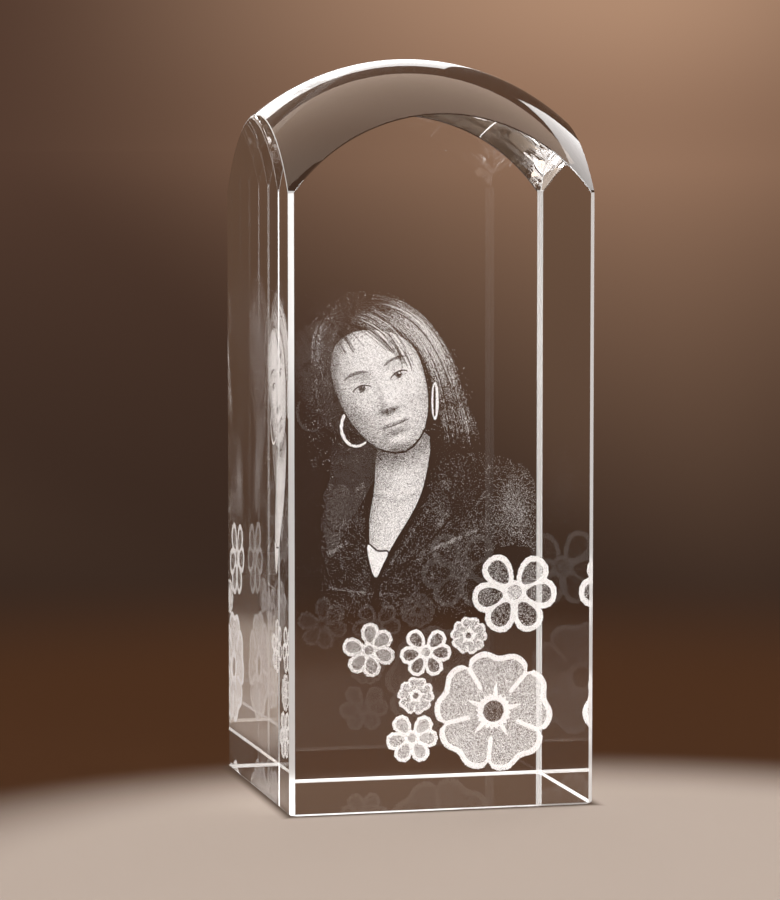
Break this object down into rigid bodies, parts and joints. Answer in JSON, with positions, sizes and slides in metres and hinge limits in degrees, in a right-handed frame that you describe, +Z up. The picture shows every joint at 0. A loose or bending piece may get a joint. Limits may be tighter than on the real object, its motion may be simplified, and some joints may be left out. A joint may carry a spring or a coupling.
{
  "type": "glass photo dome",
  "caption": "Clear optical-glass block with a square base and a spherical dome top, holding a portrait and flowers engraved inside the glass; stands on its flat base as a photo display.",
  "frame": {"origin": "middle of the flat base that the block stands on", "axes": "+Z up through the top of the dome, -Y out of the front face that the picture is seen through, +X to the viewer's right"},
  "size_m": [0.05, 0.05, 0.12],
  "materials": {
    "optical_glass": "clear optical glass, ground and polished on every face, with narrow fine-ground bevels along the edges",
    "dense_engraving": "densely set white laser marks inside the glass",
    "fine_engraving": "even haze of fine white laser marks inside the glass",
    "sparse_engraving": "scattered white laser marks inside the glass, with clear glass between them"
  },
  "bodies": {
    "root": {"glass_block": "optical_glass", "portrait_face": "dense_engraving", "portrait_hair": "sparse_engraving", "portrait_neck": "dense_engraving", "portrait_top": "dense_engraving", "portrait_lapel_left": "sparse_engraving", "portrait_lapel_right": "sparse_engraving", "portrait_jacket_left": "sparse_engraving", "portrait_jacket_right": "sparse_engraving", "earring_left": "dense_engraving", "earring_right": "dense_engraving", "daisy_upper_outline": "dense_engraving", "daisy_upper_petals": "sparse_engraving", "daisy_middle_outline": "dense_engraving", "daisy_middle_petals": "sparse_engraving", "daisy_left_outline": "dense_engraving", "daisy_left_petals": "fine_engraving", "daisy_lower_outline": "dense_engraving", "daisy_lower_petals": "fine_engraving", "blossom_large_outline": "dense_engraving", "blossom_large_star": "dense_engraving", "blossom_large_petals": "fine_engraving", "blossom_upper_outline": "dense_engraving", "blossom_upper_star": "dense_engraving", "blossom_upper_petals": "fine_engraving", "blossom_lower_outline": "dense_engraving", "blossom_lower_star": "dense_engraving", "blossom_lower_petals": "fine_engraving"}
  },
  "joints": []
}
